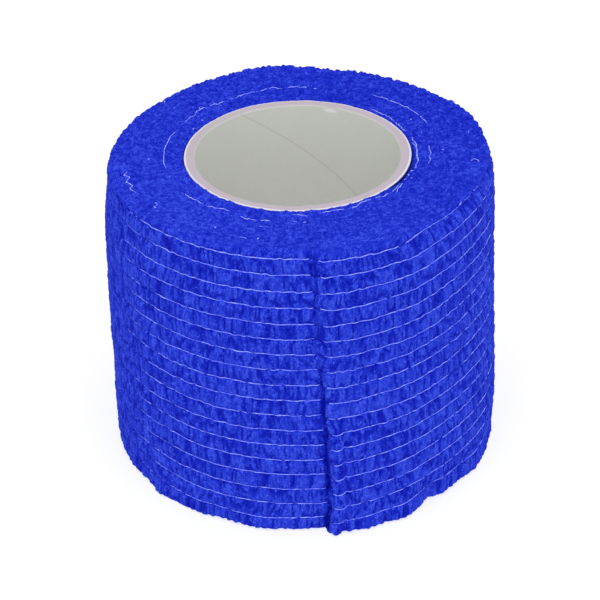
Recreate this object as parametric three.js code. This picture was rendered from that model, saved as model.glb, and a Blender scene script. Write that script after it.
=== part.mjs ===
// A roll of cohesive crepe bandage on its paper tube, standing on one end.
//
// Millimetres, +Z up. The origin is on the roll's axis, on the surface that it stands on.
// Angles are in degrees around +Z, from +X. The cut end of the bandage faces -Y.
// Seen from above, the bandage runs from its cut end counter-clockwise and in under itself.
import * as THREE from "three";

// The bandage: its width is the height of the roll.
const BANDAGE_WIDTH = 50;
const LAYER = 0.8;
const OUTER_RADIUS = 31.25;
const EDGE_ROUND = 0.5;

// The paper tube, which stands a little proud of the crepe's upper edges.
const TUBE_OUTER_RADIUS = 17.75;
const TUBE_WALL = 1.65;
const TUBE_LENGTH = 50.55;
const TUBE_EDGE = 0.2;
const TUBE_SEGMENTS = 72;
const FIT_GAP = 0.3;
const BORE_RADIUS = TUBE_OUTER_RADIUS + FIT_GAP;

// Elastic threads run along the bandage, and the crepe swells into a rib between two of them.
const THREADS = 18;
const THREAD_PITCH = 2.75;
const TOP_THREAD_DROP = 0.6;
const RIB_HEIGHT = 0.3;
const RIB_SHOULDER = 0.24;

// The solid is a grid of columns round the axis, with its first column at the cut end.
const COLUMNS = 64;
const FULL_TURN = 360;
const CUT_FACE_ANGLE = 0.8;

// The cut slants: it lies further to the right the lower it is.
const CUT_END = [
  { height: 0, angle: -81.8 },
  { height: 8, angle: -82.5 },
  { height: 19, angle: -83.7 },
  { height: 32, angle: -85.0 },
  { height: 50, angle: -86.4 },
];

// The lower part of the end stands off the turn below it, and settles a little further round.
const TAIL_LIFT = 0.6;
const TAIL_TOP = 30;
const TAIL_REACH = 0.11;

// How far the wall leans out at each height, on the roll's left and on its right.
const WALL_LEAN = [
  { height: 0, left: -0.1, right: 0.2 },
  { height: 4, left: 0, right: 0.3 },
  { height: 12, left: 0, right: 0.25 },
  { height: 20, left: 0.05, right: 0.1 },
  { height: 28, left: 0, right: -0.2 },
  { height: 41, left: -0.05, right: -0.25 },
  { height: 46, left: -0.3, right: -0.4 },
  { height: 51, left: -0.4, right: -0.5 },
];

// The lower edge is drawn in at one place, to the right of the cut end.
const LOWER_EDGE = [
  { angle: -90, out: 0 },
  { angle: -62, out: 0.1 },
  { angle: -51, out: -0.5 },
  { angle: -43, out: -0.5 },
  { angle: -30, out: 0 },
  { angle: 270, out: 0 },
];
const LOWER_EDGE_HEIGHT = 5;

// The turns are not quite level at the top: how far the upper edge rises around the roll.
const UPPER_EDGE = [
  { angle: -90, rise: 0 },
  { angle: -30, rise: 0.05 },
  { angle: 25, rise: -0.1 },
  { angle: 46, rise: -0.45 },
  { angle: 63, rise: 0.15 },
  { angle: 77, rise: -0.1 },
  { angle: 90, rise: 0.3 },
  { angle: 101, rise: 0.7 },
  { angle: 113, rise: 0.1 },
  { angle: 134, rise: -0.5 },
  { angle: 158, rise: -0.3 },
  { angle: 190, rise: 0 },
  { angle: 270, rise: 0 },
];
const UPPER_EDGE_DEPTH = 14;

// The main twists of the winding show on the upper end as low spiral ridges.
const TWIST_PITCH = 3.2;
const TWIST_HEIGHT = 0.18;
const TOP_RINGS = 13;
const RIM_INSET = 1.2;
const RIM_DROP = 0.12;
const BORE_EDGE_DROP = 0.3;

const BLUE_CREPE = { color: 0x2636c4, roughness: 0.9, metalness: 0 };
const GREY_PAPER = { color: 0xb9b8b3, roughness: 0.75, metalness: 0 };

// The value of one column of a table, between the two rows that the given place falls between.
function lookUp(table, placeColumn, valueColumn, place) {
  const next = table.findIndex((row) => row[placeColumn] >= place);
  if (next === 0) return table[0][valueColumn];
  if (next < 0) return table[table.length - 1][valueColumn];
  const low = table[next - 1];
  const high = table[next];
  const part = (place - low[placeColumn]) / (high[placeColumn] - low[placeColumn]);
  return THREE.MathUtils.lerp(low[valueColumn], high[valueColumn], part);
}

const cutAngleAtTop = lookUp(CUT_END, "height", "angle", BANDAGE_WIDTH);

// An angle brought into the range of the tables, from the front round to the front again.
function tableAngle(angle) {
  return THREE.MathUtils.euclideanModulo(angle + 90, FULL_TURN) - 90;
}

// The outside of the winding without its ribs. The turn is 0 at the cut end and 1 beneath it.
function skinRadius(turn, angle, height) {
  const rightness = (1 + Math.cos(angle * THREE.MathUtils.DEG2RAD)) / 2;
  const left = lookUp(WALL_LEAN, "height", "left", height);
  const right = lookUp(WALL_LEAN, "height", "right", height);
  const lean = THREE.MathUtils.lerp(left, right, rightness);
  const lowness = 1 - THREE.MathUtils.smoothstep(height, 0, TAIL_TOP);
  const nearness = 1 - THREE.MathUtils.smoothstep(turn, 0, TAIL_REACH);
  const edge = lookUp(LOWER_EDGE, "angle", "out", tableAngle(angle));
  const edgeShare = 1 - THREE.MathUtils.smoothstep(height, 0, LOWER_EDGE_HEIGHT);
  return OUTER_RADIUS - LAYER * turn + lean + TAIL_LIFT * lowness * nearness + edge * edgeShare;
}

// How far a point rises with the uneven upper edge. Points deep in the roll's height stay put.
function edgeRise(angle, height) {
  const share = THREE.MathUtils.smoothstep(height, BANDAGE_WIDTH - UPPER_EDGE_DEPTH, BANDAGE_WIDTH);
  return lookUp(UPPER_EDGE, "angle", "rise", tableAngle(angle)) * share;
}

// Rows up the side: each band between two threads has two shoulders and ends in a groove.
function sideRows() {
  const topThread = BANDAGE_WIDTH - TOP_THREAD_DROP;
  const rows = [];
  for (let band = 0; band < THREADS; band += 1) {
    const upper = topThread - (THREADS - 1 - band) * THREAD_PITCH;
    const lower = Math.max(upper - THREAD_PITCH, 0);
    const bandHeight = upper - lower;
    rows.push({ height: lower + RIB_SHOULDER * bandHeight, inset: 0 });
    rows.push({ height: upper - RIB_SHOULDER * bandHeight, inset: 0 });
    rows.push({ height: upper, inset: RIB_HEIGHT });
  }
  return rows;
}

// One closed section of the winding: underside, side, upper rim, upper face and bore.
function bandageSection(turn, angle) {
  const points = [{ radius: BORE_RADIUS, height: 0 }];
  points.push({ radius: skinRadius(turn, angle, 0) - EDGE_ROUND, height: 0 });
  for (const row of sideRows()) {
    const radius = skinRadius(turn, angle, row.height) - row.inset;
    points.push({ radius, height: row.height + edgeRise(angle, row.height) });
  }
  const rimRadius = skinRadius(turn, angle, BANDAGE_WIDTH) - RIM_INSET;
  for (let ring = 0; ring < TOP_RINGS; ring += 1) {
    const inward = ring / (TOP_RINGS - 1);
    const radius = THREE.MathUtils.lerp(rimRadius, BORE_RADIUS + FIT_GAP, inward);
    const wave = Math.cos(2 * Math.PI * (radius / TWIST_PITCH + turn));
    const rise = edgeRise(angle, BANDAGE_WIDTH) * (1 - inward) ** 2;
    const height = BANDAGE_WIDTH - RIM_DROP + rise + TWIST_HEIGHT * wave * Math.sin(Math.PI * inward);
    points.push({ radius, height });
  }
  points.push({ radius: BORE_RADIUS, height: BANDAGE_WIDTH - BORE_EDGE_DROP });
  return points;
}

// The place of a section point. Near the cut end, columns slant with the cut on the outside.
function placeOf(point, turn, angle) {
  const lean = lookUp(CUT_END, "height", "angle", point.height) - cutAngleAtTop;
  const outwardness = (point.radius - BORE_RADIUS) / (OUTER_RADIUS - BORE_RADIUS);
  const closeness = (2 * turn - 1) ** 2;
  const turned = (angle + lean * outwardness * closeness) * THREE.MathUtils.DEG2RAD;
  return [point.radius * Math.cos(turned), point.radius * Math.sin(turned), point.height];
}

// A closed surface from sections that follow each other round the axis, joined last to first.
function ringOfSections(sections) {
  const rows = sections[0].length;
  const positions = sections.flat(2);
  const indices = [];
  sections.forEach((section, column) => {
    const nextColumn = (column + 1) % sections.length;
    section.forEach((point, row) => {
      const nextRow = (row + 1) % rows;
      const here = column * rows + row;
      const beside = nextColumn * rows + row;
      const above = column * rows + nextRow;
      const across = nextColumn * rows + nextRow;
      indices.push(here, beside, across, here, across, above);
    });
  });
  const geometry = new THREE.BufferGeometry();
  geometry.setAttribute("position", new THREE.Float32BufferAttribute(positions, 3));
  geometry.setIndex(indices);
  geometry.computeVertexNormals();
  return geometry;
}

// The winding: the last column lies just left of the first, and the cut face joins the two.
function makeBandage() {
  const sections = [];
  for (let column = 0; column < COLUMNS; column += 1) {
    const turn = column / (COLUMNS - 1);
    const angle = cutAngleAtTop + (FULL_TURN - CUT_FACE_ANGLE) * turn;
    const points = bandageSection(turn, angle);
    sections.push(points.map((point) => placeOf(point, turn, angle)));
  }
  const mesh = new THREE.Mesh(ringOfSections(sections), new THREE.MeshStandardMaterial(BLUE_CREPE));
  mesh.name = "bandage";
  return mesh;
}

// The tube: a plain ring with its edges taken off, turned round the axis.
function makeCoreTube() {
  const inner = TUBE_OUTER_RADIUS - TUBE_WALL;
  const outline = [
    [inner + TUBE_EDGE, 0],
    [TUBE_OUTER_RADIUS - TUBE_EDGE, 0],
    [TUBE_OUTER_RADIUS, TUBE_EDGE],
    [TUBE_OUTER_RADIUS, TUBE_LENGTH - TUBE_EDGE],
    [TUBE_OUTER_RADIUS - TUBE_EDGE, TUBE_LENGTH],
    [inner + TUBE_EDGE, TUBE_LENGTH],
    [inner, TUBE_LENGTH - TUBE_EDGE],
    [inner, TUBE_EDGE],
    [inner + TUBE_EDGE, 0],
  ];
  const profile = outline.map(([radius, height]) => new THREE.Vector2(radius, height));
  const geometry = new THREE.LatheGeometry(profile, TUBE_SEGMENTS);
  const mesh = new THREE.Mesh(geometry, new THREE.MeshStandardMaterial(GREY_PAPER));
  mesh.name = "core_tube";
  mesh.rotation.x = Math.PI / 2;
  return mesh;
}

const roll = new THREE.Group();
roll.name = "cohesive_bandage_roll";
roll.add(makeCoreTube(), makeBandage());

export default roll;
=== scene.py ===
# %% [markdown]
# # A roll of cohesive crepe bandage
#
# The bandage is a thin crinkled fleece with elastic threads laid along it. It sticks to itself,
# so it is wound on a paper tube without pins or clips, and its cut end is just pressed down.
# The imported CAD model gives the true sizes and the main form. This script gives that form its
# crepe, its threads, its paper and its light. Shapes are worked out in millimetres, because the
# detail is that small, and they become metres when a mesh is made.

import math

import bpy
import numpy as np
from mathutils import Matrix, Vector


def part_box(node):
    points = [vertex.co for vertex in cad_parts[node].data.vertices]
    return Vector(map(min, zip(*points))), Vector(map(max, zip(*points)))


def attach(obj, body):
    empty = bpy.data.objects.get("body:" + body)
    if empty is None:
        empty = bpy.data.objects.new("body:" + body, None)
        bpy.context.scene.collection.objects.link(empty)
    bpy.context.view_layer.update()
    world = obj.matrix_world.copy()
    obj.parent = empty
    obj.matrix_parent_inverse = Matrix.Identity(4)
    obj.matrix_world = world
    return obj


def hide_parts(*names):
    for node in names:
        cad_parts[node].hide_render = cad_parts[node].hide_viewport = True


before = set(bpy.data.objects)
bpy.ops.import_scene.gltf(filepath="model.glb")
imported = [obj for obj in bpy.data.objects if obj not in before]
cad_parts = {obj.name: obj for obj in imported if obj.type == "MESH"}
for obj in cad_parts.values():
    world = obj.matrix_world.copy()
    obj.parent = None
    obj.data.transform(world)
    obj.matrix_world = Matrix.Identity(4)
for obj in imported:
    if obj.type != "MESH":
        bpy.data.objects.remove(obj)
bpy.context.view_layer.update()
print("CAD nodes:", sorted(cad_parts))

# %% [markdown]
# ## Sizes
#
# The tube's size comes from the frame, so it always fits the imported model. What the model only
# shows as a form is named here: the pitch of the threads, the thickness of a turn and the
# soft edges.

# %% Sizes in millimetres
MM = 0.001
tube_low, tube_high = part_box("core_tube")
TUBE_RADIUS = (tube_high.x - tube_low.x) / 2 / MM
TUBE_LENGTH = (tube_high.z - tube_low.z) / MM
TUBE_WALL = 1.65
BANDAGE_WIDTH = 50.0
BORE_RADIUS = TUBE_RADIUS + 0.1
OUTER_RADIUS = 31.25
LAYER = 0.8
THREADS = 18
THREAD_PITCH = 2.75
TOP_THREAD = BANDAGE_WIDTH - 1.1
LOW_THREAD = TOP_THREAD - (THREADS - 1) * THREAD_PITCH
TURN_LENGTH = 2 * math.pi * (OUTER_RADIUS - LAYER / 2)
print(f"tube {2 * TUBE_RADIUS:.2f} mm across, one turn of bandage {TURN_LENGTH:.1f} mm long")

# %% [markdown]
# ## Unevenness
#
# Crepe is crinkled by chance, but the chance has a size: folds about a millimetre wide, waves of
# a centimetre, fibres of a tenth. Value noise gives each of these. Random numbers sit on the
# points of a lattice, and between them the surface eases from one to the next. The seed is
# fixed, so the roll comes out the same every time. Windows and bells then keep an effect to one
# stretch of a height, a length or an angle.


# %% Value noise on whole arrays
LATTICE = 256


def ease(value, start, end):
    """0 up to start, 1 past end, and a smooth S between them."""
    share = np.clip((value - start) / (end - start), 0, 1)
    return share * share * (3 - 2 * share)


def noise(across, along, seed):
    """Smooth chance from -1 to 1: numbers on a lattice of step 1, eased between its points."""
    lattice = np.random.default_rng(seed).uniform(-1, 1, (LATTICE, LATTICE))
    column = np.floor(across).astype(int)
    row = np.floor(along).astype(int)
    part = ease(across - column, 0, 1)
    rest = ease(along - row, 0, 1)
    near = lattice[column % LATTICE, row % LATTICE]
    right = lattice[(column + 1) % LATTICE, row % LATTICE]
    above = lattice[column % LATTICE, (row + 1) % LATTICE]
    corner = lattice[(column + 1) % LATTICE, (row + 1) % LATTICE]
    low = near + part * (right - near)
    high = above + part * (corner - above)
    return low + rest * (high - low)


def window(value, start, full, fading, end):
    """1 between full and fading, 0 up to start and past end, and a smooth S on each side."""
    return ease(value, start, full) * (1 - ease(value, fading, end))


def bell(value, middle, width):
    """1 at the middle and less on both sides: e to the minus square of the distance in widths."""
    return np.exp(-(((value - middle) / width) ** 2))


# %% [markdown]
# ## From a grid of points to a mesh
#
# Every piece here is a grid of points: rows follow each other round a section, and columns
# follow each other round the roll or along a thread. A section that closes on itself, carried
# round a ring that closes too, is a closed skin with no edge anywhere. So one helper makes all
# the meshes. It can also store a number for each point, which a material reads later.


# %% Mesh of a grid
def grid_faces(rows, columns, ring):
    """Four-sided faces between the points of a grid. Rows close, and columns do if ring is true."""
    row = np.arange(rows)[:, None]
    column = np.arange(columns if ring else columns - 1)[None, :]
    next_row = (row + 1) % rows
    next_column = (column + 1) % columns
    corners = [
        row * columns + column,
        row * columns + next_column,
        next_row * columns + next_column,
        next_row * columns + column,
    ]
    return np.stack(corners, axis=-1).reshape(-1, 4)


def make_mesh(name, points, faces, **numbers):
    """An object at the origin from points in millimetres, with one number a point by name."""
    mesh = bpy.data.meshes.new(name)
    mesh.vertices.add(len(points))
    mesh.vertices.foreach_set("co", (points * MM).astype(np.float32).ravel())
    mesh.loops.add(faces.size)
    mesh.loops.foreach_set("vertex_index", faces.astype(np.int32).ravel())
    mesh.polygons.add(len(faces))
    mesh.polygons.foreach_set("loop_start", np.arange(0, faces.size, 4, dtype=np.int32))
    mesh.update(calc_edges=True)
    for title, values in numbers.items():
        layer = mesh.attributes.new(title, "FLOAT", "POINT")
        layer.data.foreach_set("value", np.asarray(values, np.float32).ravel())
    mesh.shade_smooth()
    piece = bpy.data.objects.new(name, mesh)
    bpy.context.scene.collection.objects.link(piece)
    print(f"{name}: {2 * len(faces):,} triangles, faulty: {mesh.validate()}")
    return piece


# %% [markdown]
# ## The winding's main form
#
# The outside is a spiral: it starts at the cut end and comes back one layer further in, beneath
# that end. The real roll isn't a true cylinder either. It leans in towards its top, its top edge
# rises and falls and is folded over at the front right, its lower edge is drawn in at some
# places, and the loose end's corner stands off the turn below with a small pulled-out tip.
# Short tables hold these, by height or by angle, as in the CAD model.

# %% Tables of the main form
CUT_END = {
    "height": (0, 1.5, 4.5, 8, 15, 19, 24, 32, 50),
    "angle": (-83.2, -83.0, -82.4, -82.5, -83.1, -83.0, -83.7, -84.8, -86.4),
}
CUT_ANGLE = CUT_END["angle"][-1]
WALL_LEAN = {
    "height": (0, 3, 12, 20, 28, 38, 42.5, 45, 48, 50),
    "left": (0, 0, 0, 0, 0, -0.05, -0.3, -0.7, -0.95, -1.05),
    "right": (0.3, 0.35, 0.3, 0.1, -0.2, -0.3, -0.4, -0.6, -0.8, -0.9),
}
UPPER_EDGE = {
    "angle": (-90, -30, 10, 20, 30, 36, 43, 50, 57, 70, 77, 86, 94, 101, 106, 120, 128, 146, 160, 270),
    "rise": (0, 0.05, 0.3, 1, 0.8, 0.5, 0.5, 0.35, 0.5, 0.5, 0.5, 0.8, 1.3, 1.4, 1.1, 0.65, 0.45, 0.1, 0, 0),
}
FOLDED_EDGE = {
    "angle": (-90, -61, -51, -42, -30, -15, 0, 270),
    "fold": (0, 0, 0.75, 0.9, 1, 0.8, 0, 0),
}
WOUND_UP = {
    "angle": (-90, -77, -70, -64, -57, -50, -42, -31, -22, 0, 60, 120, 180, 215, 226, 238, 257, 270),
    "top": (0.1, 0.05, 0.15, 0.2, 0.15, 0.55, 1.15, 1.45, 1.5, 1.3, 0.6, 0, 0, 0, 0.15, 0.15, 0.2, 0.1),
    "low": (0.3, 0.35, 0.65, 0.85, 1.1, 1.4, 1.5, 1.5, 1.3, 1.2, 0.6, 0.2, 0.7, 0.8, 0.7, 0.4, 0.3, 0.3),
}
LOWER_EDGE = {
    "angle": (-90, -84, -78, -72, -67, -61, -56, -50, -45, -38, -30, -22, -12, -4, 15, 40, 205)
    + (214, 221, 228, 238, 242, 247, 252, 258, 264),
    "out": (0.05, -0.1, 0.25, 0.5, 0.2, 0.85, 0.1, -1.1, -0.15, -0.4, 0.4, 0.1, -0.15, -0.45, -0.4, 0, -0.2)
    + (-0.4, 0.3, 0.1, 0.1, -0.25, -0.1, 0.3, 0.6, 0.1),
}
TAIL_LIFT = 0.6
TAIL_REACH = 0.11
TAIL_TOP = 30
LOW_EDGE_TOP = 5
TIP_FLARE = 0.9
TIP_PLACE = 1.0
TIP_WIDTH = 0.7
TIP_TOP = 2.5
THINNED_LENGTH = 1.3
CUT_RAGGED = 0.25
RAGGED_STEP = 1.3


# %% Radius and angle of the winding's skin
def by_height(table, height, value):
    """The value of a table at a height, in a straight line between its rows."""
    return np.interp(height, table["height"], table[value])


def by_angle(table, angle, value):
    """The same by an angle, brought into the tables' range from the front round to the front."""
    return np.interp((angle + 90) % 360 - 90, table["angle"], table[value])


def turned_from(angle, middle):
    """How many degrees an angle is turned from a middle one, from -180 to 180."""
    return (angle - middle + 180) % 360 - 180


def on_circle(radius, angle):
    """x and y at a radius and an angle in degrees, as two numbers or two arrays."""
    return radius * np.cos(np.radians(angle)), radius * np.sin(np.radians(angle))


def skin_radius(turn, angle, height):
    """The spiral's radius less a layer a turn, plus the lean, the lifted tail and the low edge.

    The tip is pulled out at the very bottom of the cut end, and the end is thinned beside the cut.
    """
    rightness = (1 + np.cos(np.radians(angle))) / 2
    left = by_height(WALL_LEAN, height, "left")
    right = by_height(WALL_LEAN, height, "right")
    lean = left + (right - left) * rightness
    lift = TAIL_LIFT * (1 - ease(height, 0, TAIL_TOP)) * (1 - ease(turn, 0, TAIL_REACH))
    edge = by_angle(LOWER_EDGE, angle, "out") * (1 - ease(height, 0, LOW_EDGE_TOP))
    from_end = turn * TURN_LENGTH
    tip = TIP_FLARE * bell(from_end, TIP_PLACE, TIP_WIDTH) * (1 - ease(height, 0, TIP_TOP))
    thinned = (0.12 + 0.4 * ease(height, 14, 34)) * (1 - ease(from_end, 0, THINNED_LENGTH))
    return OUTER_RADIUS - LAYER * turn + lean + lift + edge + tip - thinned


def skin_angle(turn, height):
    """Degrees round the axis: a full turn from the cut end, slanted near it as the cut slants."""
    slant = by_height(CUT_END, height, "angle") - CUT_ANGLE
    ragged = CUT_RAGGED * noise(height / RAGGED_STEP, height * 0, 11)
    return CUT_ANGLE + 360 * turn + (slant + ragged) * np.cos(np.pi * turn) ** 2


# %% [markdown]
# ## Columns of the grid
#
# One horizontal slice of the roll is a closed line. It runs once round the outside, slips in
# beneath the cut end, turns back along the underside of the loose edge, and comes out over the
# edge's thickness. The first part has most of the columns. At the upper and lower faces, where
# the end is pressed flat, the few others fold up into a plain small step.

# %% Columns round the roll
SKIN_COLUMNS = 960
END_COLUMNS = 24
COLUMNS = SKIN_COLUMNS + END_COLUMNS
TAIL_THICKNESS = 0.7
FOLDED_STEP = 0.0026
UNDER_PART = 0.42
BACK_PART = 2 * UNDER_PART

skin_turn = np.linspace(0, 1, SKIN_COLUMNS)
end_part = np.arange(1, END_COLUMNS + 1) / (END_COLUMNS + 1)
depth_share = np.clip(end_part / UNDER_PART, 0, 1) - np.clip((end_part - UNDER_PART) / UNDER_PART, 0, 1)
edge_share = np.clip((end_part - BACK_PART) / (1 - BACK_PART), 0, 1)
on_tail = end_part > UNDER_PART
print("columns:", SKIN_COLUMNS, "round the skin and", END_COLUMNS, "at the cut end")

# %% [markdown]
# ## Rows of the grid
#
# A section of the roll goes from the bore out along the lower face, round the lower edge, up
# the wall, round the upper edge and in along the upper face. On the wall there is one row on
# each thread, and the rows crowd together near the threads, where the crepe dips most.

# %% Rows up the section
LOW_FACE_ROWS = 27
LOW_EDGE_ROWS = 5
BAND_ROWS = 12
TOP_EDGE_ROWS = 9
TOP_FACE_ROWS = 62
LOW_ROUND = 0.55
TOP_ROUND_IN = 1.2
TOP_ROUND_UP = BANDAGE_WIDTH - TOP_THREAD
CROWDING = 0.09

quarter = np.pi / 2
low_turnings = np.linspace(0, quarter, LOW_EDGE_ROWS + 1)[:-1]
top_turnings = np.linspace(0, quarter, TOP_EDGE_ROWS + 1)[1:]
band_step = np.arange(1, BAND_ROWS + 1) / BAND_ROWS
band_across = band_step - CROWDING * np.sin(2 * np.pi * band_step)
lowest_across = np.linspace(LOW_ROUND / LOW_THREAD, 1, BAND_ROWS - 1)

share_rows = np.concatenate([
    np.linspace(0, 1, LOW_FACE_ROWS)[:-1],
    np.ones(LOW_EDGE_ROWS + len(lowest_across) + (THREADS - 1) * BAND_ROWS + TOP_EDGE_ROWS),
    np.linspace(1, 0, TOP_FACE_ROWS)[1:],
])
inset_rows = np.concatenate([
    np.full(LOW_FACE_ROWS - 1, LOW_ROUND),
    LOW_ROUND * (1 - np.sin(low_turnings)),
    np.zeros(len(lowest_across) + (THREADS - 1) * BAND_ROWS),
    TOP_ROUND_IN * (1 - np.cos(top_turnings)),
    np.full(TOP_FACE_ROWS - 1, TOP_ROUND_IN),
])
height_rows = np.concatenate([
    np.zeros(LOW_FACE_ROWS - 1),
    LOW_ROUND * (1 - np.cos(low_turnings)),
    LOW_THREAD * lowest_across,
    LOW_THREAD + THREAD_PITCH * (np.arange(THREADS - 1)[:, None] + band_across[None, :]).ravel(),
    TOP_THREAD + TOP_ROUND_UP * np.sin(top_turnings),
    np.full(TOP_FACE_ROWS - 1, BANDAGE_WIDTH),
])
ROWS = len(height_rows)
FIRST_THREAD_ROW = LOW_FACE_ROWS - 1 + LOW_EDGE_ROWS + len(lowest_across) - 1
thread_rows = FIRST_THREAD_ROW + BAND_ROWS * np.arange(THREADS)
print("rows:", ROWS, "with threads at heights", np.round(height_rows[thread_rows], 2))

# %% [markdown]
# ## The smooth form as a grid of points
#
# The two grids of numbers, turn by column and height by row, are spread into one array, and the
# form's formulas give the radius and the angle of every point at once. Near the cut end the open
# line, with its gap beneath the loose edge, is mixed with the folded one. The mix is open in the
# lower part of the wall and folds up towards the top and at both faces.

# %% Smooth form
FOLD_IN = 0.95
OPEN_BELOW = 22
CLOSED_ABOVE = 36
SHALLOW_GAP = 0.8
DEEP_GAP = 5.0
FREE_GAP = 0.22
LEAST_GAP = 0.03

height, share, inset = [
    rows[:, None] + np.zeros(COLUMNS) for rows in (height_rows, share_rows, inset_rows)
]

openness = 0.05 + 0.95 * (1 - ease(height_rows, OPEN_BELOW, CLOSED_ABOVE))
openness = (openness * window(height_rows, 0.0, 0.8, 48.6, 49.6))[:, None]
gap_depth = SHALLOW_GAP + (DEEP_GAP - SHALLOW_GAP) * (1 - ease(height_rows, 6, 40))
gap_depth = gap_depth[:, None] / TURN_LENGTH

end_height = height[:, SKIN_COLUMNS:]
under_turn = gap_depth * depth_share
under_angle = skin_angle(1 + under_turn, end_height)
under_radius = skin_radius(1 + under_turn, under_angle, end_height)
tail_radius = skin_radius(under_turn, under_angle, end_height)
free_gap = np.clip(tail_radius - TAIL_THICKNESS - under_radius, 0, FREE_GAP) * (1 - depth_share**2)
underside = under_radius + free_gap + LEAST_GAP
open_radius = np.where(on_tail, underside + (tail_radius - underside) * edge_share, under_radius)
low_radius = skin_radius(1, under_angle, end_height)
high_radius = skin_radius(0, under_angle, end_height)
folded_radius = low_radius + (high_radius - low_radius) * end_part
folded_turn = 1 - FOLDED_STEP * (1 - end_part)
end_turn = openness * (1 + under_turn) + (1 - openness) * folded_turn
end_radius = openness * open_radius + (1 - openness) * folded_radius

turn = np.concatenate([skin_turn * (1 - FOLDED_STEP * (1 - openness)), end_turn], axis=1)
angle = skin_angle(turn, height)
skin = skin_radius(turn[:, :SKIN_COLUMNS], angle[:, :SKIN_COLUMNS], height[:, :SKIN_COLUMNS])
skin = np.concatenate([skin, end_radius], axis=1)
fold = by_angle(FOLDED_EDGE, angle, "fold") * ease(height, 46.8, TOP_THREAD)
inset = inset + (FOLD_IN - inset * FOLD_IN / TOP_ROUND_IN) * fold
radius = BORE_RADIUS + (skin - inset - BORE_RADIUS) * share
along = turn * TURN_LENGTH

# %% [markdown]
# ## Height of the threads and of the top edge
#
# The crepe isn't wound quite level. A point moves up or down with the top edge's table, the more
# so the nearer it is to the top, and on the right all the threads below the first were wound a
# millimetre or more too high. The outer turn ends a fifth of a millimetre lower than it begins
# beneath the cut, and both are pulled down a little there. Slow and quick noise make the threads
# sway, and in a strip beside the cut, before a soft crease, they sag, because nothing pulls the
# loose end straight.

# %% Sway of the rows
CREASE = 2.35
STRIP_SAG = 0.35
TURN_DROP = 0.2
PULLED_DOWN = 0.24

on_wall = window(height, 0.0, 4.0, 48.8, 50.0)
edge_rise = by_angle(UPPER_EDGE, angle, "rise") * ease(height, 36, 50)
slow_sway = 0.07 * noise(along / 16, height / 14, 1) + 0.06 * noise(along / 4.2, height / 3.1, 2)
quick_sway = 0.12 * noise(along / 0.8, height / 1.4, 3)
end_window = window(height, 0.6, 3.5, 17, 23)
end_distance = np.where(turn < 0.5, along, along - TURN_LENGTH)
end_distance[:, SKIN_COLUMNS:] = 0
in_strip = (end_distance >= 0) & (end_distance < CREASE) & (turn < 0.5)
strip_arch = np.sin(np.pi * np.clip(end_distance / CREASE, 0, 1)) * in_strip
level = height + edge_rise * share**2
pulled_down = PULLED_DOWN * bell((turn - 0.5) % 1, 0.5, 0.12)
level = level + on_wall * (slow_sway + quick_sway + TURN_DROP * (turn - 0.6) - pulled_down)
low_up = by_angle(WOUND_UP, angle, "low")
top_up = by_angle(WOUND_UP, angle, "top")
wound_up = low_up + (top_up - low_up) * height / BANDAGE_WIDTH
wound_up = wound_up * window(height, 0, 1.6, TOP_THREAD - THREAD_PITCH, TOP_THREAD)
level = level + wound_up - STRIP_SAG * strip_arch * end_window
level = level + FOLD_IN * fold * np.minimum((BANDAGE_WIDTH - height) / TOP_ROUND_UP, 1)
smooth = np.stack([*on_circle(radius, angle), level], axis=-1)
print("smooth form:", np.round(smooth.min(axis=(0, 1)), 2), np.round(smooth.max(axis=(0, 1)), 2))

# %% [markdown]
# ## Crepe between the threads
#
# The threads pull the fleece together, so it puffs up between them and is parted by sharp, mostly
# upright slots about a millimetre apart. The size of a noise gives just that: it is nought along
# lines, which become the slots, and rounds up between them. A second noise, turned upside down,
# gives the thin crests of the wrinkles. Both lattices are much taller than they are wide, so that
# slots and crests stand upright, and every band has its own piece of them, far from the others',
# because a thread parts the folds above it from those below.


# %% Puffs and creases of the wall
FOLD_DEPTH = 0.6
MEAN_PUFF = 0.58
BAND_APART = 40
LEFT_TURN = 0.74
LEFT_SPREAD = 0.078


def crease_field(along, height, width, tall, steepness, seed):
    """0 in a crease and 1 on a puff: the size of a noise, steepened and cut off at 1."""
    return np.minimum(np.abs(noise(along / width, height / tall, seed)) * steepness, 1)


def even_bumps(along, pitch, chance, step, seed):
    """1 on rounded bumps at a pitch and 0 in the notches between them, with a chance in the spacing."""
    return np.abs(np.sin(np.pi * (along / pitch + chance * noise(along / step, 0 * along, seed)))) ** 0.6


def buried_thread(along, number):
    """1 where the fleece has closed over a thread, by chance and on the left, and 0 where it shows."""
    on_left = np.exp(-np.abs((along / TURN_LENGTH - LEFT_TURN) / LEFT_SPREAD) ** 3)
    return np.maximum(ease(noise(along / 2.8, number * 3.3, 41), 0.84, 0.95), on_left)


def wall_relief(along, height, across, band, number):
    """Height of the crepe over its threads: a bulge across each band, with slots and crests.

    The second result is painted shading: 0 in a slot, dark as shade, to 1 on a crest, as lit.
    """
    bulge = (1 - np.abs(2 * across - 1) ** 2.6) ** 0.5
    bulge = bulge + (1 - bulge) * 0.7 * buried_thread(along, number)
    own = BAND_APART * band + THREAD_PITCH * across
    slots = crease_field(along, own, width=0.66, tall=2.9, steepness=2.8, seed=21)
    crests = 1 - crease_field(along, own, width=0.5, tall=1.6, steepness=3.4, seed=22)
    wrinkles = crease_field(along, own, width=0.36, tall=0.7, steepness=1.8, seed=23)
    size = 0.84 + 0.16 * noise(along / 1.3, height / 2.4, 24)
    puff = bulge * size * (0.24 + 0.46 * slots + 0.2 * crests + 0.16 * wrinkles)
    waves = 0.06 * noise(along / 6, height / 5, 27) + 0.05 * noise(along / 2.2, height / 2.2, 28)
    # Painted shading: slots dark as shade; puffs, crests and mid-band pale as lit.
    lightness = 0.46 * slots + 0.24 * crests + 0.14 * wrinkles + 0.1 * bulge - 0.05
    return FOLD_DEPTH * (puff - MEAN_PUFF) + waves, lightness


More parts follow.
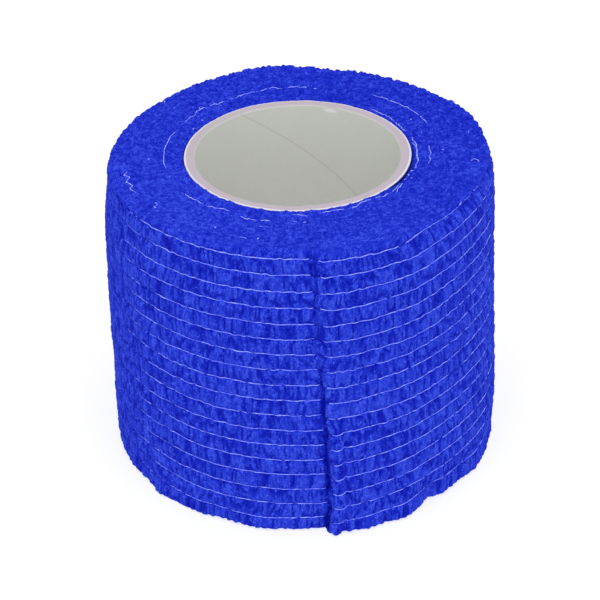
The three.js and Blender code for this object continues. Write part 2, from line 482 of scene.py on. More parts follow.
# %% [markdown]
# ## Turn edges on the upper and lower faces
#
# Seen from above, the roll shows the edges of some sixteen turns, pressed together into a felt
# with short dashes that follow the winding. The ridges use the spiral's own phase, radius plus a
# layer a turn, so they meet across the cut line. The rest is noise on x and y, which has no
# seam. To the right of the tube the first turn stands off it and leaves a narrow dark gap.
# Elsewhere its edge creeps a little way up the tube.


# %% Relief of the faces
DASH_WIDTH = 0.3
TUBE_GAP = 0.75
TUBE_GAP_PLACE = 0.1
TUBE_GAP_WIDTH = 0.16
HUG_WIDTH = 0.7


def face_relief(x, y, turn):
    """Height of the turn edges: broken spiral ridges, dashes along the turns, and felt.

    The second result is the felt's tone, from 0 in a gap to 1 on a ridge. It is partly its own
    tone and partly painted shading that follows the relief, with painted shade to the right and back.
    """
    radius = np.hypot(x, y)
    phase = (radius + LAYER * turn) / LAYER + 0.45 * noise(x / 2.3, y / 2.3, 31)
    strength = 0.5 + 0.5 * noise(x / 1.7, y / 1.7, 32)
    ridges = 0.07 * strength * np.cos(2 * np.pi * phase)
    dashes = noise(turn * LATTICE, radius / DASH_WIDTH, 37)
    felt = crease_field(x, y, width=0.45, tall=0.45, steepness=2.3, seed=33)
    grain = noise(x / 0.3, y / 0.3, 34)
    waves = 0.12 * noise(x / 5.5, y / 5.5, 35) + 0.08 * noise(x / 2, y / 2, 36)
    height = ridges + 0.07 * dashes + 0.1 * felt + 0.06 * grain + waves - 0.17
    # Partly the felt's own tone, partly painted shading: gaps dark as shade, ridges pale as lit.
    lightness = 0.34 + 0.22 * felt + 0.2 * dashes + 0.13 * grain
    # Painted shade: darker towards the right and the back of the face.
    return height, lightness - (0.04 * x + 0.05 * y) / OUTER_RADIUS


def tube_gap(x, y):
    """How deep the first turn's edge drops away from the tube on its right. On its left it hugs it."""
    angle = np.degrees(np.arctan2(y, x))
    from_tube = np.hypot(x, y) - BORE_RADIUS
    stretch = window(angle, -46, -22, 20, 40)
    gap = TUBE_GAP * stretch * bell(from_tube, TUBE_GAP_PLACE, TUBE_GAP_WIDTH)
    hug = (1 - stretch) * (0.3 + 0.16 * noise(x / 0.7, y / 0.7, 38)) * bell(from_tube, 0, HUG_WIDTH)
    return gap - hug


# %% Crepe laid on the smooth form
column_step = np.roll(smooth, -1, axis=1) - np.roll(smooth, 1, axis=1)
row_step = np.gradient(smooth, axis=0)
normal = np.cross(column_step, row_step)
normal /= np.linalg.norm(normal, axis=-1, keepdims=True)

above_low = np.where(height < LOW_THREAD, height / LOW_THREAD, (height - LOW_THREAD) / THREAD_PITCH)
across = np.where(height < LOW_THREAD, 0.2 + 0.8 * above_low, above_low % 1)
across[thread_rows] = 0
across = np.where(height > TOP_THREAD, 0.5 * ease(height, TOP_THREAD, BANDAGE_WIDTH), across)
thread_count = (height - LOW_THREAD) / THREAD_PITCH
band = np.floor(thread_count + 0.001)
wall, wall_painted_shading = wall_relief(along, level, across, band, np.round(thread_count))
face, face_tone_and_painted_shading = face_relief(smooth[..., 0], smooth[..., 1], turn)
face = face - tube_gap(smooth[..., 0], smooth[..., 1]) * (height > TOP_THREAD)
from_rim = (skin - inset) - radius
on_face = 0.75 + 0.25 * ease(from_rim, 0, 1.5)
to_top = np.where(share < 1, on_face, 0.75 * ease(height, TOP_THREAD + 0.1, BANDAGE_WIDTH))
to_top = to_top * (height > TOP_THREAD)
to_low = 1 - ease(height, 0, LOW_ROUND)
to_face = np.maximum(to_top, to_low)
relief = wall * (1 - to_face) + face * to_face
lightness = wall_painted_shading * (1 - to_face) + face_tone_and_painted_shading * to_face

# %% [markdown]
# ## Rims and the cut end
#
# The upper edge is scalloped by the turns' puckered edges, more evenly at two places of the back,
# and the lower edge has smaller bumps. The strip beside the cut swells up to its crease. The
# crepe just before the cut lies a little lower and is painted darker as shade, more so low down,
# where the loose end stands off, and the cut end's own columns are painted a little darker too.

# %% Rims and the strip beside the cut
MEAN_BUMP = 0.72
RIGHT_BACK = 27
LEFT_BACK = 147
STRIP_SWELL = 0.22
CREASE_DEPTH = 0.28
END_SHADE = 0.85

rim = np.where(share < 1, 1 - ease(from_rim, 0, 1.6), ease(height, TOP_THREAD - 0.6, 49.6))
rim = rim * (height > TOP_THREAD - 0.6) * (0.35 + 0.65 * ease(np.sin(np.radians(angle)), -0.3, 0.3))
at_right_back = bell(turned_from(angle, RIGHT_BACK), 0, 22)
at_left_back = 0.85 * bell(turned_from(angle, LEFT_BACK), 0, 34)
even_scallops = even_bumps(along, pitch=1.75, chance=0.5, step=2.6, seed=26)
scallops = crease_field(along, 0 * along, width=0.6, tall=1.0, steepness=1.5, seed=25)
scallops = scallops + (even_scallops - scallops) * np.maximum(at_right_back, at_left_back)
at_back = np.maximum(at_right_back, 0.75 * at_left_back)
relief = relief + (0.32 + 0.4 * at_back) * (scallops - MEAN_BUMP) * rim
low_rim = window(height, 0.02, 0.3, 0.9, 2.4)
low_bumps = even_bumps(along, pitch=1.3, chance=0.4, step=1.9, seed=30)
relief = relief + 0.4 * (low_bumps - MEAN_BUMP) * low_rim
strip_swell = STRIP_SWELL * strip_arch - CREASE_DEPTH * bell(end_distance, CREASE, 0.22) * (turn < 0.5)
relief = relief + strip_swell * end_window
before_cut = (end_distance < 0) * (1 - to_face)
relief = relief - 0.05 * bell(end_distance, -0.25, 0.3) * before_cut
# Painted shade just before the cut, stronger low down, where the loose end stands off it.
shaded = 0.12 + 0.38 * (1 - ease(height, 16, 34))
lightness = lightness - bell(end_distance, -0.4, 0.45) * shaded * before_cut
# Painted shade on the cut end's columns.
lightness[:, SKIN_COLUMNS:] *= END_SHADE
streak = noise(along / 0.3, level / 0.9, 29)
relief[:, SKIN_COLUMNS:] *= 1 - 0.7 * on_tail * openness
crepe = smooth + normal * relief[..., None]
crepe[..., 2] = np.maximum(crepe[..., 2], 0)
print("crepe:", np.round(crepe.min(axis=(0, 1)), 2), np.round(crepe.max(axis=(0, 1)), 2))

# %% [markdown]
# ## Four slices of crepe
#
# A mesh with all of this in it would be heavy, so the roll is cut into four rings, one on another.
# Each cut runs along a thread, at the bottom of its dip, where the thread covers it. Each ring is
# closed by two rows down the bore.

# %% Slices of the roll
SLICES = ["crepe_lower_face", "crepe_lower_wall", "crepe_upper_wall", "crepe_upper_face"]
CUT_THREADS = [0, 8, THREADS - 2]
BORE_START = 0.3
BORE_END = BANDAGE_WIDTH - 1.8


def slice_of_roll(name, first, last, low, high):
    """A closed ring: the crepe's rows from first to last, then the bore from its top down."""
    bore_turn = np.concatenate([skin_turn * (1 - FOLDED_STEP), folded_turn])
    bore_place = on_circle(BORE_RADIUS, CUT_ANGLE + 360 * bore_turn)
    bore = [np.stack([*bore_place, np.full(COLUMNS, z)], axis=-1) for z in (high, low)]
    points = np.concatenate([crepe[first : last + 1], bore])
    tone = np.concatenate([lightness[first : last + 1], np.zeros((2, COLUMNS))])
    fibre = np.concatenate([streak[first : last + 1], np.zeros((2, COLUMNS))])
    faces = grid_faces(len(points), COLUMNS, ring=True)
    return make_mesh(name, points.reshape(-1, 3), faces, lightness=tone, streak=fibre)


cut_rows = thread_rows[CUT_THREADS]
first_rows = [0, *cut_rows]
last_rows = [*cut_rows, ROWS - 1]
lows = [BORE_START, *height_rows[cut_rows]]
highs = [*height_rows[cut_rows], BORE_END]
crepe_pieces = [slice_of_roll(*one) for one in zip(SLICES, first_rows, last_rows, lows, highs)]

# %% [markdown]
# ## Elastic threads
#
# A thread is a thin round section carried along a path. On the wall the path is a row of the
# crepe's own grid, so the thread lies in its dip whatever the crepe does. It sinks into the fleece
# here and there, as chance has it, and shows as a pale line elsewhere. Towards the roll's left
# the threads break up, and on the left itself the fleece has closed over them.

# %% Threads as tubes
THREAD_RADIUS = 0.085
THREAD_SIDES = 4


def tube_along(paths, outward, thickness):
    """Rings of points about each path, square to it, with outward as the ring's first direction."""
    forward = np.gradient(paths, axis=1)
    forward /= np.linalg.norm(forward, axis=-1, keepdims=True)
    sideways = np.cross(forward, outward)
    sideways /= np.linalg.norm(sideways, axis=-1, keepdims=True)
    upward = np.cross(sideways, forward)
    corner = (2 * np.pi * np.arange(THREAD_SIDES) / THREAD_SIDES)[:, None, None, None]
    spread = np.cos(corner) * upward + np.sin(corner) * sideways
    rings = paths + spread * thickness[..., None]
    return np.moveaxis(rings, 0, 1)


def join_tubes(name, tubes, **numbers):
    """One mesh of many tubes, each with its two ends closed by a face."""
    points = []
    faces = []
    count = 0
    for rings in tubes:
        sides, length = rings.shape[:2]
        body = grid_faces(sides, length, ring=False)[:, ::-1]
        end = (np.arange(sides) * length)[None, :] + length - 1
        start = end[:, ::-1] - length + 1
        faces.append(np.concatenate([body, start, end]) + count)
        points.append(rings.reshape(-1, 3))
        count += sides * length
    return make_mesh(name, np.concatenate(points), np.concatenate(faces), **numbers)


# %% Threads round the wall
THREAD_OUT = 0.11
SUNK = 0.3
HALF_SUNK = 0.14

lines, line_normals, line_along, line_angle = [
    grid[thread_rows, :SKIN_COLUMNS] for grid in (crepe, normal, along, angle)
]
thread_number = np.arange(THREADS)[:, None] + np.zeros(SKIN_COLUMNS)
hiding = buried_thread(line_along, thread_number)
gaps = ease(noise(line_along / 0.7, thread_number * 2.1, 42), 0.6, 0.8)
near_cut = ease(line_along, TURN_LENGTH - 0.75, TURN_LENGTH - 0.5)
start = 0.35 + 0.35 * noise(thread_number * 1.7, 0 * thread_number, 45)
near_cut = near_cut + 1 - ease(line_along, start, start + 0.15)
from_left = np.abs(turned_from(line_angle, 180))
fade = 27 + 3 * noise(thread_number * 1.3, 0 * thread_number, 44)
at_left = 1 - ease(from_left, fade - 3, fade + 2)
broken = ease(noise(line_along / 1.5, thread_number * 2.9, 46), 0.05, 0.3) * (1 - ease(from_left, 34, 66))
at_right = (thread_number == THREADS - 1) * ease(from_left, 158, 164)
hidden = np.maximum(hiding, np.maximum(at_left, at_right))
stand_off = THREAD_OUT - SUNK * hidden - SUNK * near_cut - HALF_SUNK * np.maximum(gaps, broken)
thread_paths = lines + line_normals * stand_off[..., None]
thickness = THREAD_RADIUS * (1 + 0.18 * noise(line_along / 0.7, thread_number * 5.7, 43))
threads = join_tubes("elastic_threads", tube_along(thread_paths, line_normals, thickness))

# %% [markdown]
# ## Threads that show on the upper face
#
# Where a turn's edge folded over as the tape was slit, its outermost thread lies on the face: a
# broken pale arc about three millimetres from the tube, and a few loose scraps. Their
# places are listed, as a radius and an angle, and noise makes them curl.

# %% Places of the loose threads
LOOSE_RADIUS = 0.064
ARCS = [
    [(21.1, 155), (21.2, 161), (21.1, 167), (21, 173), (20.9, 180), (20.9, 185.5), (20.7, 190)],
    [(20.7, -163.6), (20.7, -162.6)],
    [(21.2, 147.6), (21.6, 143), (21.5, 139.6), (22.2, 134.5), (21.8, 132.2)],
    [(23, 133.6), (22.2, 134.5), (21.8, 137.5)],
    [(22, 129.7), (22, 126.5), (21.8, 121.8)],
    [(22, 119.5), (22.3, 115.7), (22.5, 111.7), (22.6, 105.5), (22.6, 99.5), (22.5, 94.3)],
    [(22.5, 94), (23.1, 90.7), (22.9, 86.7), (22.5, 83.5)],
    [(22.5, 83), (22.3, 81.3)],
    [(23.2, 59), (23.1, 54), (23.3, 50), (23.3, 45.5), (23.3, 40), (23.3, 34.4), (23, 29), (22.7, 23)],
    [(20.7, 6.6), (20.5, 2.1), (20.8, -0.8), (20.5, -4.6), (20.8, -6.8), (20.5, -11.3)],
    [(20.8, -146), (20.7, -140.6), (20.5, -134.7)],
    [(20.5, -133), (20.3, -127.2), (20.1, -120.4)],
    [(20.7, -115.3), (20.9, -111.9), (20.9, -107.7)],
    [(20.9, -106), (20.8, -101.8)],
    [(20.7, -92.5), (20.7, -91)],
    [(20.8, -88.4), (20.8, -87)],
    [(18.7, -93), (18.9, -86)],
    [(26.6, -171.5), (27.4, -168.5), (26.6, -167), (27.5, -164), (26.7, -162), (27.5, -159.5), (26.8, -157)],
    [(25.8, -147.3), (25.8, -145.5), (26.6, -145.3), (26.5, -143.7)],
    [(29.1, 112.3), (28.6, 110.4), (27.9, 110.1), (28.6, 109.2)],
    [(27, -7), (27.4, -5.2), (28, -6.2), (28.3, -7.8)],
    [(26, -109.6), (26.1, -107.3)],
    [(22.5, 1.9), (22.9, 1.5)],
]
SCRAPS = [
    (26, -103.6, 0.5), (22.7, -104.6, 0.6), (23.2, -178.6, 0.5), (18.9, 150.7, 0.5),
    (19.2, 141.8, 0.7), (28.5, 138.8, 0.7), (21.2, 31, 0.4), (20.8, 18.7, 0.4),
    (27.6, 11.8, 0.4), (25, -120, 0.4), (18.8, -15.4, 0.8), (18.6, -18.9, 0.7),
    (18.4, -22.8, 0.6), (18.5, -27.5, 0.5), (19.2, -25, 0.5),
]
STRANDS = [
    [(18.9, 52), (18.9, 45), (18.9, 38), (18.7, 33.5)],
    [(18.8, 34), (18.7, 27.5), (18.6, 22.7)],
    [(18.8, 17), (18.7, 13.6), (18.7, 8.5), (18.6, 2.6), (18.5, -2.3), (18.9, -9.6)],
    [(18.5, 12.3), (18.6, 6.2), (18.7, -0.6), (18.6, -7)],
    [(18.6, -3), (18.8, -8), (18.6, -14)],
    [(18.5, -30.7), (18.7, -35), (19.1, -39.1)],
    [(18.4, -33.7), (18.6, -37.6), (18.7, -40.5)],
    [(18.6, -42.5), (18.5, -47.9), (18.5, -51.5)],
    [(18.4, -53.3), (18.5, -60.1), (18.6, -65.5)],
    [(18.5, -68), (18.6, -75), (18.5, -80)],
]


# %% Loose threads on the upper face
def on_upper_face(radius, angle, above):
    """The point over the upper face at a radius and an angle, with the face's own relief."""
    x, y = on_circle(radius, angle)
    turn = (angle - CUT_ANGLE) % 360 / 360
    out = (radius - BORE_RADIUS) / (OUTER_RADIUS - TOP_ROUND_IN - BORE_RADIUS)
    rise = by_angle(UPPER_EDGE, angle, "rise") * out**2
    relief = face_relief(x, y, turn)[0] - tube_gap(x, y)
    return np.stack([x, y, BANDAGE_WIDTH + rise + relief + above], axis=-1)


def loose_path(places, number, points=48, curl=0.6):
    """A line through radius and angle places, with a curl and buried ends. It dips here and there."""
    radius, angle = np.array(places, float).T
    angle = np.degrees(np.unwrap(np.radians(angle)))
    part = np.linspace(0, 1, points)
    knots = np.linspace(0, 1, len(radius))
    length = abs(angle[-1] - angle[0]) * np.radians(1) * radius.mean()
    wiggle = 0.11 * curl * noise(part * length / 0.9, part * 0 + number, 51)
    lift = 0.07 + 0.09 * noise(part * length / 0.6, part * 0 + number, 52) - 0.1 * (2 * part - 1) ** 8
    return on_upper_face(np.interp(part, knots, radius) + wiggle, np.interp(part, knots, angle), lift)


def scrap_path(radius, angle, length, number, points=24):
    """A short curl of thread: its direction turns by chance as it goes."""
    part = np.linspace(0, 1, points)
    start = 2 * np.pi * np.random.default_rng(60 + number).uniform()
    heading = start + 2.6 * noise(part * 2.2, part * 0 + number, 53)
    step = length / points
    dx = np.cumsum(np.cos(heading)) * step
    dy = np.cumsum(np.sin(heading)) * step
    x, y = on_circle(radius, angle)
    x = x + dx - dx.mean()
    y = y + dy - dy.mean()
    return on_upper_face(np.hypot(x, y), np.degrees(np.arctan2(y, x)), 0.06 + 0.1 * np.sin(np.pi * part))


loose = [loose_path(places, number) for number, places in enumerate(ARCS)]
loose += [scrap_path(*scrap, number) for number, scrap in enumerate(SCRAPS)]
loose += [loose_path(places, 80 + number, curl=1.3) for number, places in enumerate(STRANDS)]
up = np.array([0.0, 0.0, 1.0])


def fine_tube(path):
    """A thread a little thinner than those of the wall, tapered to nothing at both ends."""
    part = np.linspace(-1, 1, len(path))
    thin = LOOSE_RADIUS * np.clip(1.05 - part**6, 0.12, 1)
    return tube_along(path[None], up + 0 * path[None], thin[None])[0]


loose_threads = join_tubes("loose_threads", [fine_tube(path) for path in loose])

# %% [markdown]
# ## Paper tube
#
# The tube is wound from strips of grey paper, so a fine seam climbs round its inside. The grid's
# columns lean as that seam does, and they stand closer together beside it, because the seam is
# only a quarter of a millimetre wide. The sawn rim has softened edges and one small nick on its
# inner side. A number marks the tube's outside below the rim, which is painted dark blue as
# shade, because the crepe shadows it there and no grey shows in the gap.

# %% Tube's section and seam
TUBE_COLUMNS = 400
SEAM_ANGLE = 124.2
SEAM_TURN = 4.63
SEAM_WIDTH = 0.13
NICK_ANGLE = 70.5
NICK_WIDTH = 1.1
RIM_HEIGHT = TUBE_LENGTH - 0.25
EDGE_ROUND = 0.2
bore = TUBE_RADIUS - TUBE_WALL
edge_turn = np.linspace(0, np.pi / 2, 6)

section_radius = np.concatenate([
    np.full(50, TUBE_RADIUS),
    TUBE_RADIUS - EDGE_ROUND * (1 - np.cos(edge_turn[1:])),
    np.linspace(TUBE_RADIUS - EDGE_ROUND, bore + EDGE_ROUND, 8)[1:-1],
    bore + EDGE_ROUND * (1 - np.sin(edge_turn)),
    np.full(54, bore),
    [bore + 0.08, bore + EDGE_ROUND, TUBE_RADIUS - EDGE_ROUND, TUBE_RADIUS - 0.06],
])
section_height = np.concatenate([
    np.linspace(EDGE_ROUND, RIM_HEIGHT - EDGE_ROUND, 50),
    RIM_HEIGHT - EDGE_ROUND * (1 - np.sin(edge_turn[1:])),
    np.full(6, RIM_HEIGHT),
    RIM_HEIGHT - EDGE_ROUND * (1 - np.cos(edge_turn)),
    np.linspace(RIM_HEIGHT - EDGE_ROUND, RIM_HEIGHT - 1, 6)[1:],
    np.linspace(RIM_HEIGHT - 1, EDGE_ROUND, 50)[1:],
    [0.06, 0, 0, 0.06],
])
print("tube section:", len(section_radius), "rows")

# %% Tube as a mesh
spread = np.linspace(-1, 1, TUBE_COLUMNS, endpoint=False)
from_seam = 180 * (0.25 * spread + 0.75 * spread**3)
tube_height = section_height[:, None] + 0 * from_seam
tube_angle = SEAM_ANGLE + from_seam + SEAM_TURN * (tube_height - RIM_HEIGHT)
inner = (1 - ease(section_radius, bore, bore + 0.3))[:, None]
top = ease(section_height, RIM_HEIGHT - 0.5, RIM_HEIGHT)[:, None]
sawn_face = top * ease(section_radius, bore + 0.02, bore + 0.1)[:, None]
seam = bell(np.radians(from_seam) * bore, 0, SEAM_WIDTH) * inner
from_nick = np.radians(turned_from(tube_angle, NICK_ANGLE)) * bore
torn = ease(section_height, RIM_HEIGHT - 1.0, RIM_HEIGHT - 0.1)[:, None]
nick = np.exp(-((from_nick / NICK_WIDTH) ** 4)) * torn * (1 - ease(section_radius, bore, bore + 0.8))[:, None]
turned = np.radians(tube_angle)
sawn = 0.05 * noise(*on_circle(9, tube_angle), 71) - 0.03
sawn = sawn + 0.03 * noise(np.cos(turned) * 40, np.sin(turned) * 40 + section_radius[:, None] * 3, 72)
tilt = 0.1 * np.sin(turned)
tube_radius = section_radius[:, None] + 0.02 * seam + 0.3 * nick
tube_level = tube_height + (sawn + tilt) * top - 0.15 * nick
tube_points = np.stack([*on_circle(tube_radius, tube_angle), tube_level], axis=-1)
outer_edge = top * ease(section_radius, TUBE_RADIUS - 0.36, TUBE_RADIUS - 0.24)[:, None]
below = 1 - ease(section_height, RIM_HEIGHT - 0.2, RIM_HEIGHT - 0.1)[:, None]
# Painted shade: the outside below the rim, which the crepe shadows.
outside = below * ease(section_radius, TUBE_RADIUS - 0.1, TUBE_RADIUS)[:, None]
tube = make_mesh(
    "paper_tube",
    tube_points.reshape(-1, 3),
    grid_faces(len(section_radius), TUBE_COLUMNS, ring=True),
    seam=seam,
    rim=np.minimum(sawn_face + 0.3 * nick, 1),
    outer_edge=outer_edge + 0 * seam,
    outside=outside + 0 * seam,
)

# %% [markdown]
# ## A short way to write materials
#
# A material is a net of nodes, and its maths is easier to read as a formula. So a node's output
# is wrapped in a small class, and adding or multiplying two of them adds the node that does
# it. Every other node comes from one method: its kind, then its settings, then what goes in.


# %% Node outputs that can be reckoned with
class Output:
    """One output of a node in a finish. Sums and products of it add Math nodes."""

    def __init__(self, finish, socket):
        self.finish = finish
        self.socket = socket

    def reckon(self, operation, first, second):
        inputs = {"Value": first, "Value_001": second}
        return self.finish.node("ShaderNodeMath", {"operation": operation}, inputs)

    def __add__(self, other):
        return self.reckon("ADD", self, other)

    def __radd__(self, other):
        return self.reckon("ADD", other, self)

    def __sub__(self, other):
        return self.reckon("SUBTRACT", self, other)

    def __rsub__(self, other):
        return self.reckon("SUBTRACT", other, self)

    def __mul__(self, other):
        return self.reckon("MULTIPLY", self, other)

    def __rmul__(self, other):
        return self.reckon("MULTIPLY", other, self)

    def above(self, limit):
        """What is over a limit, and nought where nothing is."""
        return self.reckon("MAXIMUM", self - limit, 0.0)

    def near(self, level, width):
        """1 at a level, falling to nought at a width from it: the contour lines of a noise."""
        distance = self.reckon("ABSOLUTE", self - level, 0.0)
        return (1.0 - distance * (1 / width)).above(0.0)


class Finish:
    """A material as it is being made."""

    def __init__(self, name):
        self.material = bpy.data.materials.new(name)
        self.material.use_nodes = True
        self.tree = self.material.node_tree
        self.tree.nodes.clear()

    def node(self, kind, settings, inputs, output=None):
        """Add a node: its settings first, then the value or the link of each input by identifier."""
        node = self.tree.nodes.new(kind)
        for setting, value in settings.items():
            if setting == "stops":
                ramp = node.color_ramp
                for _ in value[2:]:
                    ramp.elements.new(0.5)
                for element, (position, colour) in zip(ramp.elements, value):
                    element.position = position
                    element.color = (*colour, 1)
            else:
                setattr(node, setting, value)
        sockets = {socket.identifier: socket for socket in node.inputs}
        for title, value in inputs.items():
            if isinstance(value, Output):
                self.tree.links.new(value.socket, sockets[title])
            else:
                sockets[title].default_value = value
        outputs = {socket.identifier: socket for socket in node.outputs}
        chosen = outputs[output] if output else node.outputs[0] if node.outputs else None
        return Output(self, chosen)

    def attribute(self, name):
        """A number that the mesh carries for each point."""
        return self.node("ShaderNodeAttribute", {"attribute_name": name}, {}, "Fac")

    def chance(self, size, detail=2.0, roughness=0.5, upright=1.0):
        """Noise from 0 to 1 on Object coordinates: lumps of a size in millimetres, or taller."""
        place = self.node("ShaderNodeTexCoord", {}, {}, "Object")
        inputs = {"Vector": place, "Vector_001": (1, 1, 1 / upright)}
        place = self.node("ShaderNodeVectorMath", {"operation": "MULTIPLY"}, inputs)
        inputs = {"Vector": place, "Scale": 1 / (size * MM), "Detail": detail, "Roughness": roughness}
        return self.node("ShaderNodeTexNoise", {}, inputs, "Fac")

    def blend(self, share, first, second):
        """A colour between two, by a share from 0 to 1."""
        inputs = {"Factor_Float": share, "A_Color": first, "B_Color": second}
        return self.node("ShaderNodeMix", {"data_type": "RGBA"}, inputs, "Result_Color")

    def ramp(self, value, stops):
        """A colour looked up on a row of stops."""
        return self.node("ShaderNodeValToRGB", {"stops": stops}, {"Fac": value}, "Color")

    def surface(self, colour, bump_height, bump_depth, **values):
        """Join the shader to the output, with a bump of a depth in millimetres."""
        inputs = {"Height": bump_height, "Distance": bump_depth * MM, "Strength": 1.0}
        bump = self.node("ShaderNodeBump", {}, inputs, "Normal")
        inputs = {"Base Color": colour, "Normal": bump, **values}
        shader = self.node("ShaderNodeBsdfPrincipled", {}, inputs, "BSDF")
        self.node("ShaderNodeOutputMaterial", {}, {"Surface": shader})
        print("finish", self.material.name, "has", len(self.tree.nodes), "nodes")
        return self.material


# %% [markdown]
# ## Crepe
#
# The fleece is dyed a strong blue. Light and shade are painted into that blue: its raised puffs
# and crests are painted paler, as lit, and its slots and grooves a deeper, darker blue, as shade,
# since light bounces about in them. The mesh carries its own relief as a number, so this painted
# shading follows the real folds. Here and there fibres stand up as pale wisps and curls. A curl
# is a contour line of a noise: it shows where the noise is near one level.
# The finest fibres are too small for the mesh and come from a bump.

# %% Crepe's finish
# DEEP_BLUE is painted shade in the slots and PALE_BLUE painted light on the puffs and crests.
DEEP_BLUE = (0.002, 0.006, 0.42)
MID_BLUE = (0.012, 0.029, 0.63)
PALE_BLUE = (0.060, 0.110, 0.95)


def crepe_finish():
    """Blue painted darker in the mesh's own slots as shade and paler on its puffs as light,
    broken up by fine chance, with pale wisps and curls of fibre.
    """
    finish = Finish("blue_crepe")
    fine = finish.chance(0.2, 2.0, 0.6)
    lumps = finish.chance(1.1, 2.0)
    cloud = finish.chance(9.0, 1.0)
    curls = finish.chance(0.42, 1.0, 0.5, upright=1.5).near(0.59, 0.055) * lumps.above(0.42) * 3.2
    wisps = finish.chance(0.24, 1.0, 0.5, upright=1.8).above(0.56) * lumps * 4.0
    chance = (fine - 0.5) * 0.7 + (cloud - 0.5) * 0.2
    tone = finish.attribute("lightness") * 0.95 + wisps + curls + chance + finish.attribute("streak") * 0.08
    colour = finish.ramp(tone, [(0.05, DEEP_BLUE), (0.5, MID_BLUE), (1.0, PALE_BLUE)])
    fibres = finish.chance(0.12, 3.0, 0.7)
    return finish.surface(
        colour,
        fine * 0.6 + fibres * 0.4,
        0.22,
        Roughness=0.9,
        **{"Specular IOR Level": 0.03, "Sheen Weight": 0.03, "Sheen Tint": (0.3, 0.4, 1.0, 1.0)},
    )


# %% [markdown]
# ## Threads
#
# The elastic threads are paler than the fleece, because the dye takes to them less. Along its
# length each is now brighter, now bluer, where fibres of the fleece cling to it. The threads also
# glow a little in pure blue, though they are no lamp: painted light that brightens them in shade.


# %% Thread's finish
THREAD_BLUE = (0.16, 0.23, 1.0)
THREAD_PALE = (0.44, 0.56, 1.0)
LOOSE_BLUE = (0.16, 0.24, 0.92)
LOOSE_PALE = (0.60, 0.70, 1.0)
THREAD_PAINTED_GLOW = 0.3


def thread_finish(name, blue, pale):
    """Pale blue in two strengths, changed by chance every millimetre or so, with a painted blue glow."""
    finish = Finish(name)
    clinging = finish.chance(0.7, 3.0, 0.6)
    colour = finish.ramp(clinging, [(0.36, blue), (0.6, pale)])
    twist = finish.chance(0.1, 2.0)
    # Painted light: a faint pure blue glow, though a thread is no lamp.
    glow = {"Emission Color": (0, 0, 1, 1), "Emission Strength": THREAD_PAINTED_GLOW}
    return finish.surface(colour, twist, 0.03, Roughness=0.6, **{"Specular IOR Level": 0.1}, **glow)


# %% [markdown]
# ## Grey paper
#
# The board is an unbleached grey, warmer and pinker where it was sawn, with a white outer ply that
# shows as a thin line round the rim. The seam is a shade darker. Fibres in the board give a faint
# mottling and a slight roughness.


# %% Paper's finish
DARK_BOARD = (0.70, 0.71, 0.675, 1)
PALE_BOARD = (0.785, 0.795, 0.76, 1)
SAWN_BOARD = (0.51, 0.445, 0.505, 1)
WHITE_PLY = (0.78, 0.76, 0.86, 1)
SEAM_GREY = (0.48, 0.48, 0.46, 1)
# Painted shade: the dark blue put on the tube's outside below the rim.
SHADED_SIDE = (0.014, 0.02, 0.26, 1)


def paper_finish():
    """Grey board, then the rim's tint, the white ply, painted shade outside and the seam laid over it."""
    finish = Finish("grey_paper")
    mottle = finish.chance(0.9, 4.0, 0.6)
    cloud = finish.chance(14.0, 2.0)
    tone = (mottle - 0.5) * 0.5 + (cloud - 0.5) * 0.4 + 0.5
    board = finish.blend(tone, DARK_BOARD, PALE_BOARD)
    board = finish.blend(finish.attribute("rim"), board, SAWN_BOARD)
    board = finish.blend(finish.attribute("outer_edge"), board, WHITE_PLY)
    # Painted shade on the outside below the rim.
    board = finish.blend(finish.attribute("outside"), board, SHADED_SIDE)
    board = finish.blend(finish.attribute("seam") * 0.55, board, SEAM_GREY)
    fibres = finish.chance(0.25, 4.0, 0.65)
    return finish.surface(board, fibres, 0.05, Roughness=0.75, **{"Specular IOR Level": 0.25})


# %% Finishes on the pieces
crepe_material = crepe_finish()
for piece in crepe_pieces:
    piece.data.materials.append(crepe_material)
threads.data.materials.append(thread_finish("elastic_thread", THREAD_BLUE, THREAD_PALE))
loose_threads.data.materials.append(thread_finish("loose_thread", LOOSE_BLUE, LOOSE_PALE))
tube.data.materials.append(paper_finish())

# %% [markdown]
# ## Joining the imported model
#
# Nothing on a roll of bandage moves, so every piece rides on its one body. The four slices
# and the threads take the place of the plain solid of the winding, and the paper tube takes the
# place of the plain ring.

# %% Pieces and the nodes that they replace
for piece in [*crepe_pieces, threads, loose_threads]:
    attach(piece, "root")
    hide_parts("bandage")
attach(tube, "root")
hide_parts("core_tube")

# %% [markdown]
# ## Floor, light and camera
#
# The roll stands on a white table in soft, even light, with next to no shadow. A white world
# gives most of that light. The table is a grey sheet that glows, as if lit from below, so it
# stays white in the picture without throwing too much light on the roll. One lamp above the
# front brings out the folds. The camera is far off with a long lens, and it looks down at about
# thirty-five degrees.


# %% Floor
FLOOR_REACH = 1500
FLOOR_DROP = 0.05
FLOOR_GLOW = 0.72


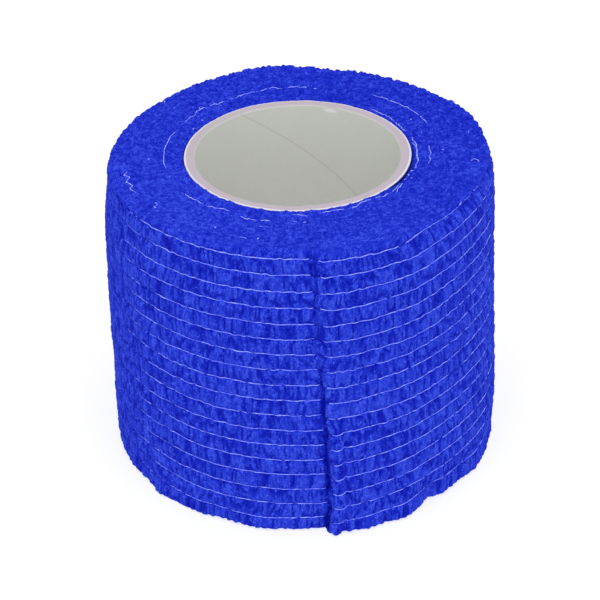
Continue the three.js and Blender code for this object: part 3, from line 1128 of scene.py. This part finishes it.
def floor_finish():
    """A matt grey with a hardly visible grain, and a white glow."""
    finish = Finish("white_table")
    grain = finish.chance(40.0, 2.0)
    colour = finish.blend(grain, (0.34, 0.34, 0.34, 1), (0.36, 0.36, 0.36, 1))
    glow = {"Emission Color": (1, 1, 1, 1), "Emission Strength": FLOOR_GLOW}
    return finish.surface(colour, grain, 0.01, Roughness=0.9, **{"Specular IOR Level": 0.1}, **glow)


floor_corners = np.array([(-1, -1), (1, -1), (1, 1), (-1, 1)]) * FLOOR_REACH
floor_points = np.concatenate([floor_corners, np.full((4, 1), -FLOOR_DROP)], axis=1)
floor = make_mesh("white_table", floor_points, np.array([[0, 1, 2, 3]]))
floor.data.materials.append(floor_finish())

# %% World and lamp
WORLD_STRENGTH = 0.74
LAMP_PLACE = Vector((0, -0.24, 0.735))

world = bpy.data.worlds.new("soft_white")
world.use_nodes = True
background = world.node_tree.nodes["Background"].inputs
background["Color"].default_value = (1, 1, 1, 1)
background["Strength"].default_value = WORLD_STRENGTH
bpy.context.scene.world = world

lamp_data = bpy.data.lights.new("lamp_above", "AREA")
lamp_data.size = 0.4
lamp_data.energy = 2.0
lamp = bpy.data.objects.new("lamp_above", lamp_data)
lamp.location = LAMP_PLACE
aim = Vector((0, 0, 0.025)) - LAMP_PLACE
lamp.rotation_euler = aim.to_track_quat("-Z", "Y").to_euler()
bpy.context.scene.collection.objects.link(lamp)

# %% Camera
LENS_ON_FILM = 149.14
EYE = Vector((0, -0.34036, 0.23670))
LOOKED_AT = Vector((-0.000123, 0, 0.02330))
ROLL = math.radians(-1.2425)

forward = (LOOKED_AT - EYE).normalized()
level_right = forward.cross(Vector((0, 0, 1))).normalized()
level_up = level_right.cross(forward)
right = math.cos(ROLL) * level_right + math.sin(ROLL) * level_up
raised = math.cos(ROLL) * level_up - math.sin(ROLL) * level_right

camera_data = bpy.data.cameras.new("photo_view")
camera_data.sensor_width = 36
camera_data.lens = LENS_ON_FILM
camera_data.clip_start = 0.01
camera = bpy.data.objects.new("photo_view", camera_data)
camera.matrix_world = Matrix.Translation(EYE) @ Matrix((right, raised, -forward)).transposed().to_4x4()
bpy.context.scene.collection.objects.link(camera)
bpy.context.scene.camera = camera
bpy.context.scene.view_settings.view_transform = "Standard"
print("camera at", tuple(round(value, 4) for value in camera.matrix_world.translation))
